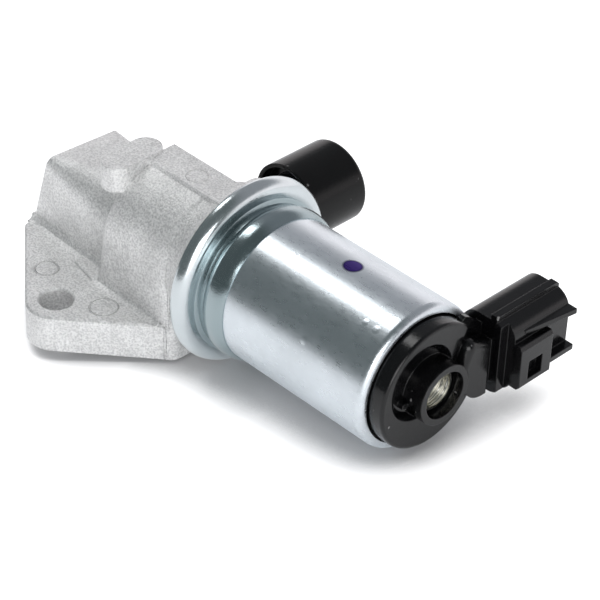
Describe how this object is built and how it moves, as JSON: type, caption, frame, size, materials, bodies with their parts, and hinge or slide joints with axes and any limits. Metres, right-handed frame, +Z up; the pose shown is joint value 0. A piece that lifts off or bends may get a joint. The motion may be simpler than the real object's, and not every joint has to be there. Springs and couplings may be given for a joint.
{
  "type": "idle air control valve",
  "caption": "Solenoid air valve for engine idle: cast diamond-flange body, steel collar and can, moulded end cap with side connector, rubber-capped air nipple.",
  "frame": {"origin": "centre of the two bolt holes, on the mounting face", "axes": "+X along the solenoid towards the electrical connector, +Y towards the air nipple, +Z up from the mounting face, out of the manifold"},
  "size_m": [0.1202, 0.0718, 0.043],
  "materials": {
    "cast_aluminium": "satin",
    "plated_steel": "satin",
    "collar_steel": "satin",
    "pole_steel": "satin",
    "spring_steel": "bright",
    "brass": "satin",
    "tinned_brass": "bright",
    "copper_wire": "satin",
    "black_nylon": "satin",
    "bobbin_nylon": "matt",
    "acetal": "matt",
    "black_rubber": "matt",
    "seal_rubber": "matt"
  },
  "bodies": {
    "housing": {"valve_body": "cast_aluminium", "seat_ring": "brass", "guide_plate": "brass", "stem_bush": "acetal", "stem_wiper": "seal_rubber", "body_seal": "seal_rubber", "mounting_collar": "collar_steel", "solenoid_can": "plated_steel", "rear_pole_plate": "pole_steel", "front_pole_plate": "pole_steel", "guide_sleeve": "brass", "coil_bobbin": "bobbin_nylon", "coil_winding": "copper_wire", "pole_core": "pole_steel", "adjusting_screw": "pole_steel", "return_spring": "spring_steel", "hose_nipple": "plated_steel", "port_cap": "black_rubber", "cap_seal": "seal_rubber", "end_cap": "black_nylon", "terminal_low": "tinned_brass", "terminal_high": "tinned_brass"},
    "plunger": {"valve_plug": "acetal", "plug_seal": "seal_rubber", "stem_clip": "spring_steel", "valve_stem": "pole_steel", "armature": "pole_steel"}
  },
  "joints": [
    {"name": "plunger_slide", "type": "slide", "parent": "housing", "child": "plunger", "axis": [1, 0, 0], "range_m": [0, 0.004], "stiffness_N_per_m": 800, "springref_m": -0.006, "deforming": ["return_spring"]}
  ]
}
